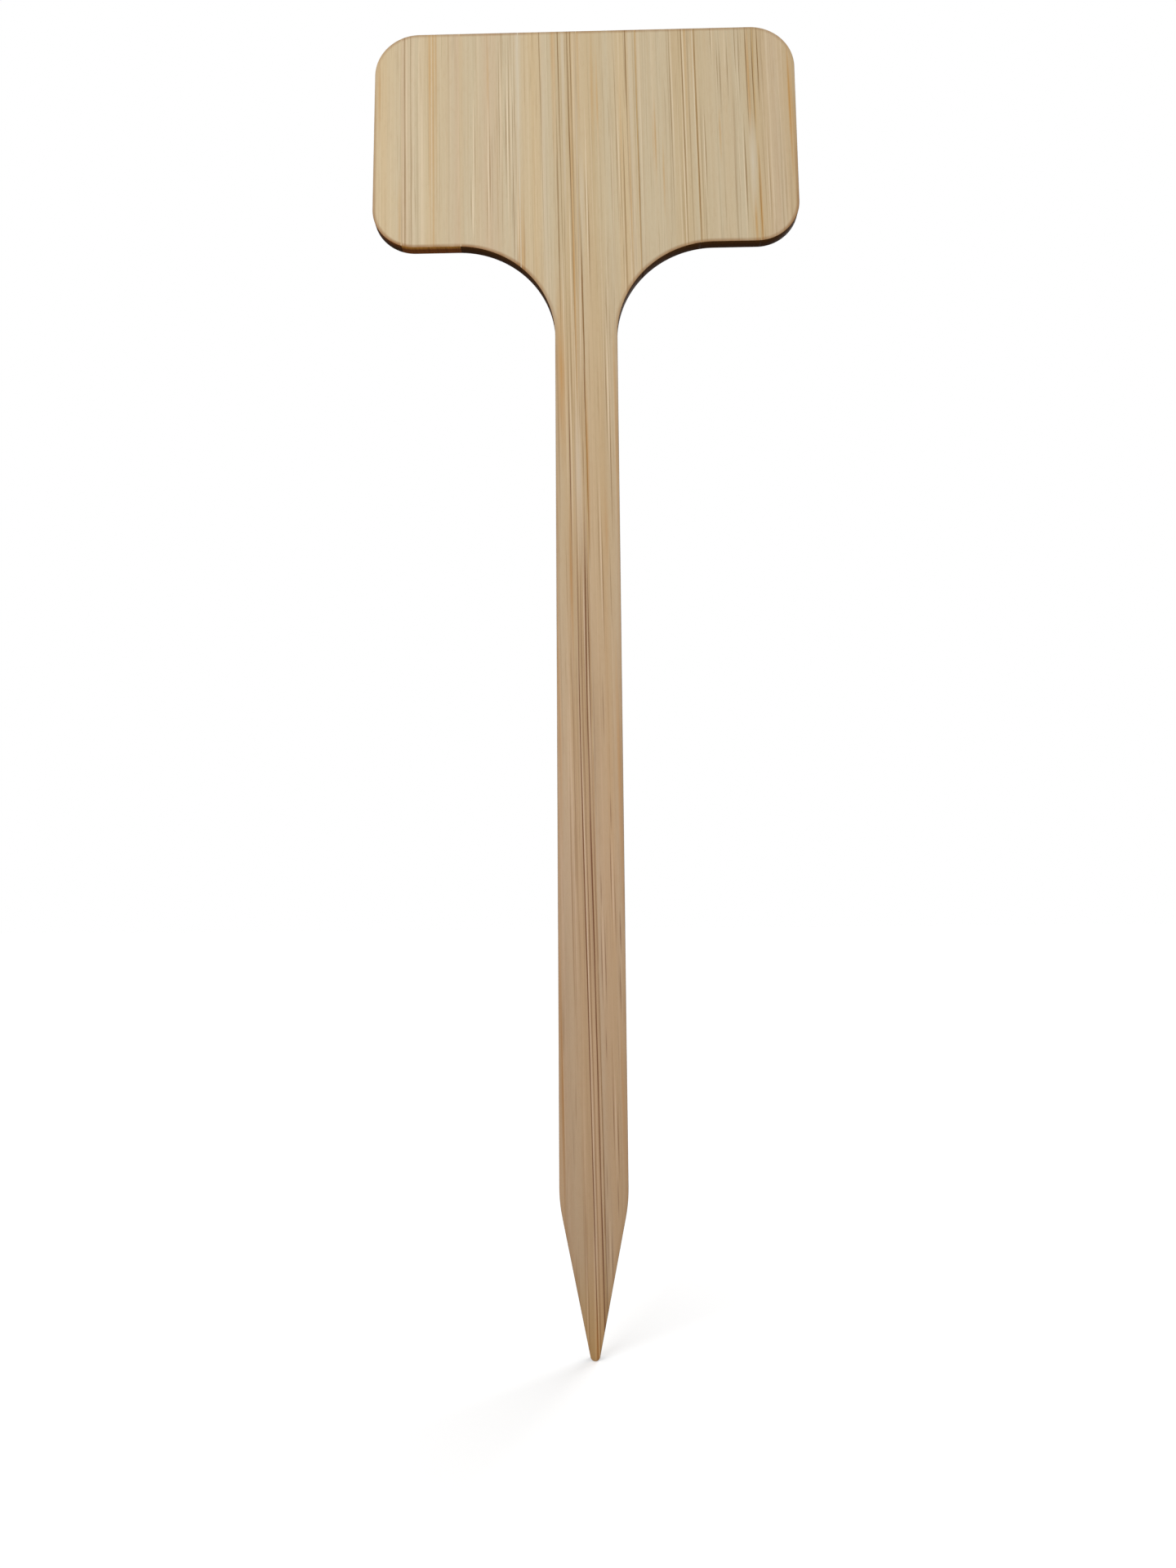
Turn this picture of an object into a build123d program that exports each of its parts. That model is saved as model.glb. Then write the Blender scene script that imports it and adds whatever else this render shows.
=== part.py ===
from build123d import *

import math
import os

# Plant label stake: a flat T-shaped label on a long pointed stem, laser-cut from a thin bamboo board.
# The board is glued up from straight bamboo strips of one width, laid side by side, and the label is
# cut out of it a little askew to the grain. So the pieces of the stake are the strips, as the cut
# leaves them, and the glue lines that join them.
# Millimetres and degrees. X runs across the head, Y through the board and Z up from the tip.
# The front face looks towards -Y.

# Whole stake
overall_length = 180.0  # from the rounded tip to the top of the head

# Head
head_width = 60.0
head_height = 33.2
head_top_corner_radius = 6.3
head_bottom_corner_radius = 6.0
neck_radius = 13.7  # hollow curve from the underside of the head into the stem

# Stem and point
stem_width = 8.6
point_angle = 23.3  # between the two sides of the point
shoulder_radius = 18.0  # where a straight side of the stem turns into the point
tip_radius = 0.6

# Board
board_thickness = 1.5
strip_width = 8.3
glue_line_width = 0.1
grain_lean = 0.86  # how far the grain leans to the left, going up
stem_seam_offset = 1.55  # the stem's glue line lies this far right of the tip, at the tip's height

# Sizes that follow from those above
head_underside = overall_length - head_height
half_point_angle = math.radians(point_angle / 2)
sharp_tip_drop = tip_radius / math.sin(half_point_angle) - tip_radius
shoulder_height = stem_width / 2 / math.tan(half_point_angle) - sharp_tip_drop
strip_pitch = strip_width + glue_line_width
half_glue_line = glue_line_width / 2
uncut_board_length = 2 * (overall_length + head_width)


def stake_outline():
    """The cut line of the whole stake, as a face: each corner with its rounding, mirrored about the stem."""
    right_corners = [
        ((head_width / 2, overall_length), head_top_corner_radius),
        ((head_width / 2, head_underside), head_bottom_corner_radius),
        ((stem_width / 2, head_underside), neck_radius),
        ((stem_width / 2, shoulder_height), shoulder_radius),
    ]
    tip_corner = ((0, -sharp_tip_drop), tip_radius)
    left_corners = [((-x, z), radius) for (x, z), radius in reversed(right_corners)]
    corners = [*right_corners, tip_corner, *left_corners]
    points = [point for point, radius in corners]
    radii = [radius for point, radius in corners]
    return make_face(FilletPolyline(*points, radius=radii, close=True))


outline = stake_outline()

# The board's own frame: its origin is on the stem's glue line, and its second axis follows the grain.
board_frame = Pos(stem_seam_offset, 0) * Rot(0, 0, grain_lean)
outline_on_board = (board_frame.inverse() * outline).bounding_box()


def cut_from_board(start, width):
    """What the cut line leaves of a straight band of the board.

    start is where the band begins, measured across the grain from the stem's glue line.
    """
    band = Rectangle(width, uncut_board_length, align=(Align.MIN, Align.CENTER))
    left_by_the_cut = outline & (board_frame * Pos(start, 0) * band)
    return extrude(Plane.XZ * left_by_the_cut, amount=board_thickness / 2, both=True)


def strip(side, number):
    """One bamboo strip, counted outwards from the stem's glue line. side is -1 on the left, 1 on the right."""
    nearest = number * strip_pitch + half_glue_line
    start = nearest if side > 0 else -nearest - strip_width
    return cut_from_board(start, strip_width)


def glue_line(side, number):
    """The glue line on the inner side of that strip."""
    return cut_from_board(side * number * strip_pitch - half_glue_line, glue_line_width)


def strips_to_edge(reach):
    """How many strips it takes from the stem's glue line out to the edge of the head."""
    return math.ceil((reach - half_glue_line) / strip_pitch)


# The two innermost strips run from the top of the head to the point. The others end in the head.
pieces = {"stem_glue_line": glue_line(1, 0)}
sides = (("left", -1, -outline_on_board.min.X), ("right", 1, outline_on_board.max.X))
for side_name, side, reach in sides:
    pieces[f"stem_strip_{side_name}"] = strip(side, 0)
    for number in range(1, strips_to_edge(reach)):
        pieces[f"head_glue_line_{side_name}_{number}"] = glue_line(side, number)
        pieces[f"head_strip_{side_name}_{number}"] = strip(side, number)

os.makedirs("parts", exist_ok=True)
for name, piece in pieces.items():
    piece.label = name
    export_step(piece, f"parts/{name}.step")
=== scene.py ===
"""Plant label stake: a flat T-shaped label with a long pointed stem, laser-cut from laminated bamboo.

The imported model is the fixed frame. Each bamboo strip and each glue line of it is modelled here once more,
with the softened edge and the burnt rim that the laser leaves, and dressed with the grain of its own strip.
Sizes are millimetres and degrees unless a comment says otherwise. X runs across the head, Y through the
board and Z up from the tip. The front face looks towards -Y.
"""
import logging
import math
from abc import ABC, abstractmethod
from dataclasses import dataclass
from enum import Enum
from typing import Any, ClassVar

import bmesh
import bpy
from bmesh.types import BMEdge, BMesh, BMFace, BMVert
from bpy.types import Material, Node, NodeSocket, NodeTree, Object
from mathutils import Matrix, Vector


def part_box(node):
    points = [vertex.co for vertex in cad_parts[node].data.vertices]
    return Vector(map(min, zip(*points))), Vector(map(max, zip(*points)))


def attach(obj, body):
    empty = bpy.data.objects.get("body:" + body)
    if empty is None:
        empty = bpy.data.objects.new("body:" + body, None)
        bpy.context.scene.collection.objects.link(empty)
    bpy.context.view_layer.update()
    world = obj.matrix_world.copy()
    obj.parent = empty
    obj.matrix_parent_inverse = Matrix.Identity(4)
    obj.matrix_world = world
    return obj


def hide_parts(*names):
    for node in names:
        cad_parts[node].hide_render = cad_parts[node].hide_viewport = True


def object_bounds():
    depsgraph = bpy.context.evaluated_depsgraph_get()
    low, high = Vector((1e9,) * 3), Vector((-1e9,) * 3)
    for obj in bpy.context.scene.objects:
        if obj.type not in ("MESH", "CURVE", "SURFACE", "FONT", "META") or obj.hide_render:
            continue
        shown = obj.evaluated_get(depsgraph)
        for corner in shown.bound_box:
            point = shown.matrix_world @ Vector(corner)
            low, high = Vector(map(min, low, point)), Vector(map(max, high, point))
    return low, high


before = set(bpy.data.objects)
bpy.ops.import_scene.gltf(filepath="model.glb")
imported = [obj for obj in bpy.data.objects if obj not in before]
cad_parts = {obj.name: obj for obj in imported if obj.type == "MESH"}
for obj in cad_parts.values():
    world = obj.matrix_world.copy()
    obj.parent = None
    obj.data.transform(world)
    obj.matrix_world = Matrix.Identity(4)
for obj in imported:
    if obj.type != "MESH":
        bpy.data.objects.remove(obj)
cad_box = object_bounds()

Triple = tuple[float, float, float]
Colour = tuple[float, float, float, float]  # linear red, green and blue, and alpha

MM = 0.001  # metres in a millimetre
MERGE = 0.001 * MM  # points closer than this are one point
BODY = "root"  # the stake has no joints, so every piece rides on one body
SCORCH = "scorch"  # vertex attribute: 1 on the cut edge, 0 where the laser's heat no longer reaches
FACE_SLOT = 0  # material slots of a piece
RIM_SLOT = 1

# A Mix node has one set of sockets for each kind of value, so its colour sockets go by number
MIX_FACTOR = 0
MIX_FIRST = 6
MIX_SECOND = 7
MIX_RESULT = 2

log = logging.getLogger("plant_label_stake")


def to_linear(colour: str) -> Colour:
    """Turns an sRGB hex colour into the linear colour that a shader takes.

    Args:
        colour: six hex digits, for red, green and blue.

    Returns:
        Red, green, blue and an alpha of one.
    """
    shares = [int(colour[start:start + 2], 16) / 255 for start in (0, 2, 4)]
    red, green, blue = [s / 12.92 if s <= 0.04045 else ((s + 0.055) / 1.055) ** 2.4 for s in shares]
    return red, green, blue, 1.0


def add_node(tree: NodeTree, kind: str, inputs: dict[Any, Any], **settings: Any) -> Node:
    """Adds one shader node with its settings and links.

    Args:
        tree: the node tree that the node goes into.
        kind: the node's type, without the words ShaderNode in front.
        inputs: for a socket's name or number, the constant that it holds or the socket that feeds it.
        settings: the node's own properties.

    Returns:
        The new node.
    """
    node = tree.nodes.new("ShaderNode" + kind)
    for name, value in settings.items():
        setattr(node, name, value)
    for socket, value in inputs.items():
        if isinstance(value, NodeSocket):
            tree.links.new(value, node.inputs[socket])
        else:
            node.inputs[socket].default_value = value
    return node


def set_stops(ramp: Node, stops: list[tuple[float, str]]) -> None:
    """Gives a colour ramp its stops in place of the two that it starts with.

    Args:
        ramp: the colour ramp's node.
        stops: the place of each stop on the ramp, going up from 0 to 1, and its colour.
    """
    elements = ramp.color_ramp.elements
    for place, colour in stops[1:-1]:
        elements.new(place)
    if len(stops) == 1:
        elements.remove(elements[-1])
    for element, (place, colour) in zip(elements, stops):
        element.position = place
        element.color = to_linear(colour)


def new_material(name: str) -> tuple[Material, NodeTree]:
    """Starts a material with an empty node tree.

    Args:
        name: the material's name.

    Returns:
        The material and its node tree.
    """
    material = bpy.data.materials.new(name)
    material.use_nodes = True
    material.node_tree.nodes.clear()
    return material, material.node_tree


def stretched(size: Triple, seed: float) -> dict[str, Triple]:
    """Mapping settings that draw a pattern at its real size.

    Args:
        size: how large one mark of the pattern is across the grain, through the board and along the grain.
        seed: shifts the pattern, so that each strip has its own.

    Returns:
        Location and scale for a Mapping node that is fed with millimetres.
    """
    across, through, along = size
    return {"Location": (seed, 3 * seed, 7 * seed), "Scale": (1 / across, 1 / through, 1 / along)}


@dataclass
class CutLine:
    """The laser's way round the stake."""

    overall_length: float
    head_width: float
    head_height: float = 33.2
    head_top_corner_radius: float = 6.3
    head_bottom_corner_radius: float = 6.0
    neck_radius: float = 13.7
    stem_width: float = 8.6
    point_angle: float = 23.3
    shoulder_radius: float = 18.0
    tip_radius: float = 0.6
    arc_step: float = 2.5  # each arc is drawn in steps of about this angle

    def right_corners(self) -> list[tuple[Vector, float]]:
        """The corners of the right half before they are rounded, from the head's top down to the tip.

        Returns:
            The place of each corner, in the plane of the board, and its radius.
        """
        head_underside = self.overall_length - self.head_height
        half_angle = math.radians(self.point_angle / 2)
        sharp_tip_drop = self.tip_radius / math.sin(half_angle) - self.tip_radius
        shoulder_height = self.stem_width / 2 / math.tan(half_angle) - sharp_tip_drop
        return [
            (Vector((self.head_width / 2, 0, self.overall_length)), self.head_top_corner_radius),
            (Vector((self.head_width / 2, 0, head_underside)), self.head_bottom_corner_radius),
            (Vector((self.stem_width / 2, 0, head_underside)), self.neck_radius),
            (Vector((self.stem_width / 2, 0, shoulder_height)), self.shoulder_radius),
            (Vector((sharp_tip_drop * math.tan(half_angle), 0, 0)), self.tip_radius),
        ]

    def draw(self, mesh: BMesh) -> BMFace:
        """Draws the right half with straight runs and arcs, mirrors it and fills it.

        Args:
            mesh: the empty mesh that takes the outline.

        Returns:
            The flat face inside the cut line, in the middle of the board.
        """
        corners = self.right_corners()
        top_middle = Vector((0, 0, self.overall_length))
        places = [top_middle, *[place for place, radius in corners], Vector((0, 0, 0))]
        pen = mesh.verts.new(top_middle * MM)
        for (place, radius), before, after in zip(corners, places, places[2:]):
            pen = self.round_corner(mesh, pen, before, place, after, radius)
        half = [*mesh.verts, *mesh.edges]
        bmesh.ops.mirror(mesh, geom=half, axis="X", merge_dist=MERGE)
        bmesh.ops.remove_doubles(mesh, verts=mesh.verts, dist=MERGE)
        return bmesh.ops.contextual_create(mesh, geom=mesh.edges[:])["faces"][0]

    def round_corner(
        self, mesh: BMesh, pen: BMVert, before: Vector, corner: Vector, after: Vector, radius: float
    ) -> BMVert:
        """Draws the straight run up to a corner and the arc that rounds it.

        Args:
            mesh: the mesh that takes the line.
            pen: the last point drawn so far.
            before: the corner before this one.
            corner: this corner, before it is rounded.
            after: the corner after this one.
            radius: the radius of the arc.

        Returns:
            The last point of the arc.
        """
        way_in = (corner - before).normalized()
        way_out = (after - corner).normalized()
        turn = way_in.angle(way_out)
        axis = way_in.cross(way_out).normalized()
        arc_start = corner - way_in * radius * math.tan(turn / 2)
        arc_centre = arc_start + axis.cross(way_in) * radius
        run_end = bmesh.ops.extrude_vert_indiv(mesh, verts=[pen])["verts"][0]
        run_end.co = arc_start * MM
        steps = math.ceil(math.degrees(turn) / self.arc_step)
        arc = bmesh.ops.spin(mesh, geom=[run_end], cent=arc_centre * MM, axis=axis, angle=turn, steps=steps)
        return next(item for item in arc["geom_last"] if isinstance(item, BMVert))


@dataclass
class Board:
    """The laminated board that the stake is cut from, a little askew to the grain."""

    cut_line: CutLine
    thickness: float
    strip_width: float = 8.3
    glue_line_width: float = 0.1
    grain_lean: float = 0.86  # how far the grain leans to the left, going up
    stem_seam_offset: float = 1.55  # the stem's glue line lies this far right of the tip
    arris: float = 0.07  # how far the laser has rounded the edge
    rim_slope: float = 0.6  # a face is burnt where its normal points through the board by less than this
    # The halo's rings: how wide each is, and how much scorching is left on its inner side
    halo: tuple[tuple[float, float], ...] = ((0.12, 0.8), (0.15, 0.5), (0.2, 0.0))
    least_heat: float = 0.3
    heat_reach: float = 25.0  # how far from the underside of the head the cut has cooled to the least
    top_heat: float = 0.7  # the top of the head is cut across the grain, which burns more
    top_heat_reach: float = 7.0

    @property
    def strip_pitch(self) -> float:
        """From one seam to the next."""
        return self.strip_width + self.glue_line_width

    @property
    def lean(self) -> float:
        """The grain's lean in radians."""
        return math.radians(self.grain_lean)

    def cut_out(self) -> BMesh:
        """The whole stake as the laser leaves it, before it is told apart into strips and glue lines.

        Returns:
            A closed mesh with rounded edges, a burnt rim and the scorched halo beside it.
        """
        mesh = bmesh.new()
        scorch = mesh.verts.layers.float.new(SCORCH)
        face = self.cut_line.draw(mesh)
        bmesh.ops.translate(mesh, verts=mesh.verts, vec=(0, -self.thickness / 2 * MM, 0))
        raised = bmesh.ops.extrude_face_region(mesh, geom=[face])["geom"]
        back_corners = [item for item in raised if isinstance(item, BMVert)]
        bmesh.ops.translate(mesh, verts=back_corners, vec=(0, self.thickness * MM, 0))
        bmesh.ops.recalc_face_normals(mesh, faces=mesh.faces)

        edges = {edge for flat in self.flat_sides(mesh) for edge in flat.edges}
        bmesh.ops.bevel(
            mesh,
            geom=list(edges),
            offset=self.arris * MM,
            offset_type="OFFSET",
            segments=2,
            profile=0.5,
            affect="EDGES",
            material=-1,
        )
        flats = self.flat_sides(mesh)
        for side in mesh.faces:
            burnt = abs(side.normal.y) < self.rim_slope
            side.material_index = RIM_SLOT if burnt else FACE_SLOT
            side.smooth = side not in flats
        for vert in mesh.verts:
            vert[scorch] = self.heat(vert.co.z / MM)
        for ring_width, scorch_left in self.halo:
            bmesh.ops.inset_region(mesh, faces=flats, thickness=ring_width * MM, use_even_offset=True)
            for vert in {vert for flat in flats for vert in flat.verts}:
                vert[scorch] = scorch_left * self.heat(vert.co.z / MM)
        return mesh

    def heat(self, height: float) -> float:
        """How hot the cut ran at a height: hottest along the underside of the head, then along its top.

        Args:
            height: the height above the tip.

        Returns:
            The heat, from 0 to 1.
        """
        top = self.cut_line.overall_length
        from_underside = abs(height - top + self.cut_line.head_height)
        at_top = self.top_heat * (1 - (top - height) / self.top_heat_reach)
        return max(self.least_heat, 1 - from_underside / self.heat_reach, at_top)

    @staticmethod
    def flat_sides(mesh: BMesh) -> list[BMFace]:
        """The front and the back of the stake, which are its two largest faces."""
        return sorted(mesh.faces, key=lambda face: face.calc_area())[-2:]

    def band(self, cut_out: BMesh, start: float, width: float) -> BMesh:
        """What the cut line leaves of one straight band of the board.

        Args:
            cut_out: the whole stake.
            start: where the band begins, measured across the grain from the stem's glue line.
            width: how wide the band is.

        Returns:
            A closed mesh of that band.
        """
        piece = cut_out.copy()
        across = Vector((math.cos(self.lean), 0, math.sin(self.lean)))
        seam_foot = Vector((self.stem_seam_offset, 0, 0))
        for place, outwards in ((start, -across), (start + width, across)):
            cut = bmesh.ops.bisect_plane(
                piece,
                geom=[*piece.verts, *piece.edges, *piece.faces],
                plane_co=(seam_foot + across * place) * MM,
                plane_no=outwards,
                clear_outer=True,
            )["geom_cut"]
            seam_edges = [item for item in cut if isinstance(item, BMEdge)]
            if seam_edges:
                bmesh.ops.contextual_create(piece, geom=seam_edges)
        bmesh.ops.recalc_face_normals(piece, faces=piece.faces)
        return piece

    def grain_mapping(self, left_seam: float) -> dict[str, Triple]:
        """Mapping settings that turn Object coordinates into millimetres along the grain.

        Args:
            left_seam: where the strip begins, measured across the grain from the stem's glue line.

        Returns:
            Location, rotation and scale for a Mapping node. Its result is the place across the strip, the
            place through the board and the height along the grain.
        """
        across = -self.stem_seam_offset * math.cos(self.lean) - left_seam
        along = self.stem_seam_offset * math.sin(self.lean)
        scale = 1 / MM
        return {"Location": (across, 0, along), "Rotation": (0, self.lean, 0), "Scale": (scale, scale, scale)}


class StrawTone(Enum):
    """Tones of the bare sanded strips, between the fibres."""

    STRAW = "ccba99"
    ASH = "cdbc9e"
    SAND = "ccb493"
    HONEY = "cfb78f"
    TAN = "c8b088"
    CLAY = "c4aa82"


class FibreTone(Enum):
    """Tones of the fibre bundles that show as streaks, in the order in which they go over each other."""

    DARK = "866333"
    UMBER = "744a24"
    AMBER = "c08c42"
    PALE = "e6d2b2"
    GREY = "d3c4aa"


class CharTone(Enum):
    """Tones of the burnt rim, and of the bamboo that is singed beside it."""

    SOOT = "482a08"
    COAL = "2c1703"
    EMBER = "b07a34"
    RUST = "623410"
    SINGED = "8e5f2b"


class GlueTone(Enum):
    """Tones of the dried glue between two strips."""

    CLEAR = "c8b28c"
    MILKY = "d4c6ac"
    BROWN = "b8955c"
    DARK = "ab8753"
    SUNKEN = "ac8a64"
    STAINED = "8c673c"


class DenseSide(Enum):
    """The side of a strip that lay near the culm's skin, where its fibres stand closest."""

    LEFT = 0
    RIGHT = 1


@dataclass(frozen=True)
class Levels:
    """How a pattern is read: going from its first level to its last, it gives the least up to the most."""

    first: float = 0.0
    last: float = 1.0
    least: float = 0.0
    most: float = 1.0

    def settings(self) -> dict[str, float]:
        """The same, as a Map Range node takes it."""
        return {"From Min": self.first, "From Max": self.last, "To Min": self.least, "To Max": self.most}


@dataclass(frozen=True)
class GrainMark:
    """One kind of mark in the grain, drawn from noise that is stretched along the fibres."""

    size: Triple  # across the grain, through the board and along the grain
    colour: str
    levels: Levels  # the noise at which it begins to show and shows in full, and how much there is of it then
    fibre: bool = False  # whether it is a fibre, which shows most on the strip's dense side


# Marks that every strip has between its own fibres
GRAIN_MARKS = (
    GrainMark((1.3, 2.0, 90.0), "d4b487", Levels(0.45, 0.75, most=0.25)),
    GrainMark((0.9, 2.0, 60.0), "cabb9c", Levels(0.45, 0.75, most=0.30)),
    GrainMark((0.60, 1.0, 40.0), "b9986b", Levels(0.52, 0.80, most=0.22)),
    GrainMark((0.30, 0.8, 60.0), FibreTone.PALE.value, Levels(0.60, 0.68, most=0.42), fibre=True),
    GrainMark((0.26, 0.8, 45.0), FibreTone.DARK.value, Levels(0.62, 0.70, most=0.34), fibre=True),
    GrainMark((0.18, 0.5, 12.0), FibreTone.DARK.value, Levels(0.62, 0.73, most=0.40), fibre=True),
    GrainMark((0.25, 0.3, 1.2), "b08d60", Levels(0.50, 0.80, most=0.12)),
)

# Sizes of the other patterns, across the grain, through the board and along the grain
WANDER_SIZE = (5.0, 4.0, 26.0)
BUNDLE_SIZE = (0.55, 1.2, 50.0)
WEAR_SIZE = (0.5, 1.5, 12.0)
SINGED_PATCH_SIZE = (4.0, 4.0, 7.0)
CHAR_RIDGE_SIZE = (0.3, 6.0, 0.3)
GLUE_PATCH_SIZE = (0.5, 0.5, 6.0)

# How those patterns are read. The sides and the core of a bundle go by the distance from its middle, as a
# share of its size.
BUNDLE_SHOWS = Levels(0.45, 0.75)
BUNDLE_SIDES = Levels(0.42, 0.26, most=0.3)
BUNDLE_CORE = Levels(0.26, 0.08, most=0.75)
WEAR = Levels(0.3, 0.65, least=0.6, most=1.1)
SINGED_PATCHES = Levels(0.3, 0.7, least=0.55, most=1.1)
CHAR_RIDGES = Levels(0.35, 0.75, most=0.5)
THIN_GLUE = Levels(0.45, 0.7, most=0.6)

ALL_THROUGH = 1000.0  # so much deeper than the board that a fibre is the same at the front and the back

# How the bamboo darkens and browns on its way down, partly its own browning and partly painted shade of the
# light falling off towards the point: heights, and what its colour is multiplied by there
SHADE_AND_BROWNING = ((0.0, "dcc6a6"), (12.0, "e2d3cf"), (60.0, "f1e3e3"), (110.0, "f7efeb"), (150.0, "ffffff"))


@dataclass(frozen=True)
class Fibre:
    """One fibre bundle that shows as a streak: a long thin spindle that runs with the grain.

    The place is that of its middle, measured across the strip from its left seam. Foot and top are the
    heights of its ends.
    """

    place: float
    width: float
    tone: FibreTone
    strength: float
    foot: float = 95.0
    top: float = 231.0
    stray: float = 0.0  # how far its top lies to the right of its foot

    def spindle(self) -> dict[str, Triple]:
        """Mapping settings that put a ball of radius one in the fibre's place, drawn out to its size."""
        length = self.top - self.foot
        return {
            "Location": (self.place, 0, self.foot + length / 2),
            "Rotation": (0, math.atan2(self.stray, length), 0),
            "Scale": (self.width / 2, ALL_THROUGH, length / 2),
        }


@dataclass(frozen=True)
class Grain:
    """The coordinates of the board's grain in a material."""

    tree: NodeTree
    place: NodeSocket  # across the strip, through the board and along the grain, in millimetres

    @classmethod
    def of(cls, tree: NodeTree, board: Board, left_seam: float = 0.0) -> "Grain":
        """Lays the coordinates into a material.

        Args:
            tree: the material's node tree.
            board: the board that the piece belongs to.
            left_seam: from where they count across the grain, measured from the stem's glue line.

        Returns:
            The grain.
        """
        here = add_node(tree, "TexCoord", {})
        inputs = {"Vector": here.outputs["Object"], **board.grain_mapping(left_seam)}
        return cls(tree, add_node(tree, "Mapping", inputs).outputs[0])


@dataclass(frozen=True)
class Layer:
    """One layer of colour that goes over those before it."""

    share: NodeSocket | float  # how much of it shows
    colour: NodeSocket | Colour
    blend: str = "MIX"


@dataclass(frozen=True)
class SandedBamboo:
    """Finish of one strip: laminated bamboo, planed and sanded bare.

    To the eye it is a pale satin straw colour with fine dark and pale fibres that run dead straight, closer
    on the side that lay near the culm's skin, and it turns amber where the laser has warmed it.
    """

    tones: tuple[StrawTone, ...]  # from the left seam to the right one
    dense_side: DenseSide
    fibres: tuple[Fibre, ...]
    seed: float
    boldness: float = 1.0  # how strongly the strip's fine fibres show
    sparsest: float = 0.3  # how much of them is left at the open seam
    wander: float = 0.1  # how far a fibre strays, side to side
    roughness: Levels = Levels(least=0.58, most=0.72)  # from the bare bamboo to a dark streak
    groove: float = 0.015  # how deep a dark streak lies

    def material(self, name: str, board: Board, left_seam: float) -> Material:
        """Makes the strip's own material.

        Args:
            name: the material's name.
            board: the board that the strip belongs to.
            left_seam: where the strip begins, measured across the grain from the stem's glue line.

        Returns:
            The material.
        """
        material, tree = new_material(name)
        grain = self.wandering(Grain.of(tree, board, left_seam + self.wander / 2))
        density = self.density(grain, board)
        sides, core = self.bundles(grain, density)
        streaks = self.streaks(grain)
        layers = [*self.marks(grain, density), sides, core, *streaks.values()]
        colour = self.bare_colour(grain, board)
        # the darkening towards the point is partly painted shade of the light falling off, partly the
        # bamboo's own browning
        for layer in (*layers, self.shaded_and_browned(grain, board), self.singed(grain)):
            inputs = {MIX_FACTOR: layer.share, MIX_FIRST: colour, MIX_SECOND: layer.colour}
            mixed = add_node(tree, "Mix", inputs, data_type="RGBA", blend_type=layer.blend)
            colour = mixed.outputs[MIX_RESULT]
        dark_streaks = streaks[FibreTone.DARK].share
        relief = add_node(tree, "Math", {0: sides.share, 1: dark_streaks}, operation="ADD")
        rough = add_node(tree, "MapRange", {"Value": relief.outputs[0], **self.roughness.settings()})
        bump = add_node(
            tree,
            "Bump",
            {"Height": relief.outputs[0], "Distance": self.groove * MM, "Strength": 0.5},
            invert=True,
        )
        shader = add_node(
            tree,
            "BsdfPrincipled",
            {
                "Base Color": colour,
                "Roughness": rough.outputs[0],
                "Normal": bump.outputs[0],
                "IOR": 1.5,
                "Specular IOR Level": 0.35,
            },
        )
        add_node(tree, "OutputMaterial", {"Surface": shader.outputs[0]})
        return material

    def wandering(self, straight: Grain) -> Grain:
        """Gives the grain the slight wander of real fibres.

        Args:
            straight: the grain of a perfectly straight strip.

        Returns:
            The grain with its wander.
        """
        tree = straight.tree
        slow = add_node(tree, "Mapping", {"Vector": straight.place, **stretched(WANDER_SIZE, self.seed)})
        noise = add_node(tree, "TexNoise", {"Vector": slow.outputs[0], "Scale": 1.0, "Detail": 2.0})
        inputs = {0: noise.outputs["Color"], 1: (self.wander, 0, 0), 2: straight.place}
        bent = add_node(tree, "VectorMath", inputs, operation="MULTIPLY_ADD")
        return Grain(tree, bent.outputs[0])

    def density(self, grain: Grain, board: Board) -> NodeSocket:
        """How close the fibres stand, from the strip's open side to its dense side.

        Args:
            grain: the strip's grain.
            board: the board that the strip belongs to.

        Returns:
            The density, which is about 1 where fibres stand close.
        """
        open_seam = board.strip_pitch if self.dense_side is DenseSide.LEFT else 0.0
        dense_seam = board.strip_pitch - open_seam
        levels = Levels(open_seam, dense_seam, self.sparsest * self.boldness, self.boldness)
        parts = add_node(grain.tree, "SeparateXYZ", {0: grain.place})
        density = add_node(grain.tree, "MapRange", {"Value": parts.outputs["X"], **levels.settings()})
        return density.outputs[0]

    def bare_colour(self, grain: Grain, board: Board) -> NodeSocket:
        """The tone of the strip between its fibres, which changes slowly from seam to seam.

        Args:
            grain: the strip's grain.
            board: the board that the strip belongs to.

        Returns:
            The colour.
        """
        tree = grain.tree
        parts = add_node(tree, "SeparateXYZ", {0: grain.place})
        share = add_node(tree, "Math", {0: parts.outputs["X"], 1: board.strip_pitch}, operation="DIVIDE")
        ramp = add_node(tree, "ValToRGB", {0: share.outputs[0]})
        steps = len(self.tones) - 1
        set_stops(ramp, [(number / steps, tone.value) for number, tone in enumerate(self.tones)])
        return ramp.outputs[0]

    def marks(self, grain: Grain, density: NodeSocket) -> list[Layer]:
        """Broad soft bands, hairlines, short dashes and a fine speckle, all along the grain.

        Args:
            grain: the strip's grain.
            density: how close the fibres stand.

        Returns:
            A layer for each kind of mark.
        """
        tree = grain.tree
        layers = []
        for number, mark in enumerate(GRAIN_MARKS):
            drawn = stretched(mark.size, self.seed + number)
            place = add_node(tree, "Mapping", {"Vector": grain.place, **drawn})
            noise = add_node(tree, "TexNoise", {"Vector": place.outputs[0], "Scale": 1.0, "Detail": 1.0})
            share = add_node(tree, "MapRange", {"Value": noise.outputs[0], **mark.levels.settings()})
            if mark.fibre:
                share = add_node(tree, "Math", {0: share.outputs[0], 1: density}, operation="MULTIPLY")
            layers.append(Layer(share.outputs[0], to_linear(mark.colour)))
        return layers

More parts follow.
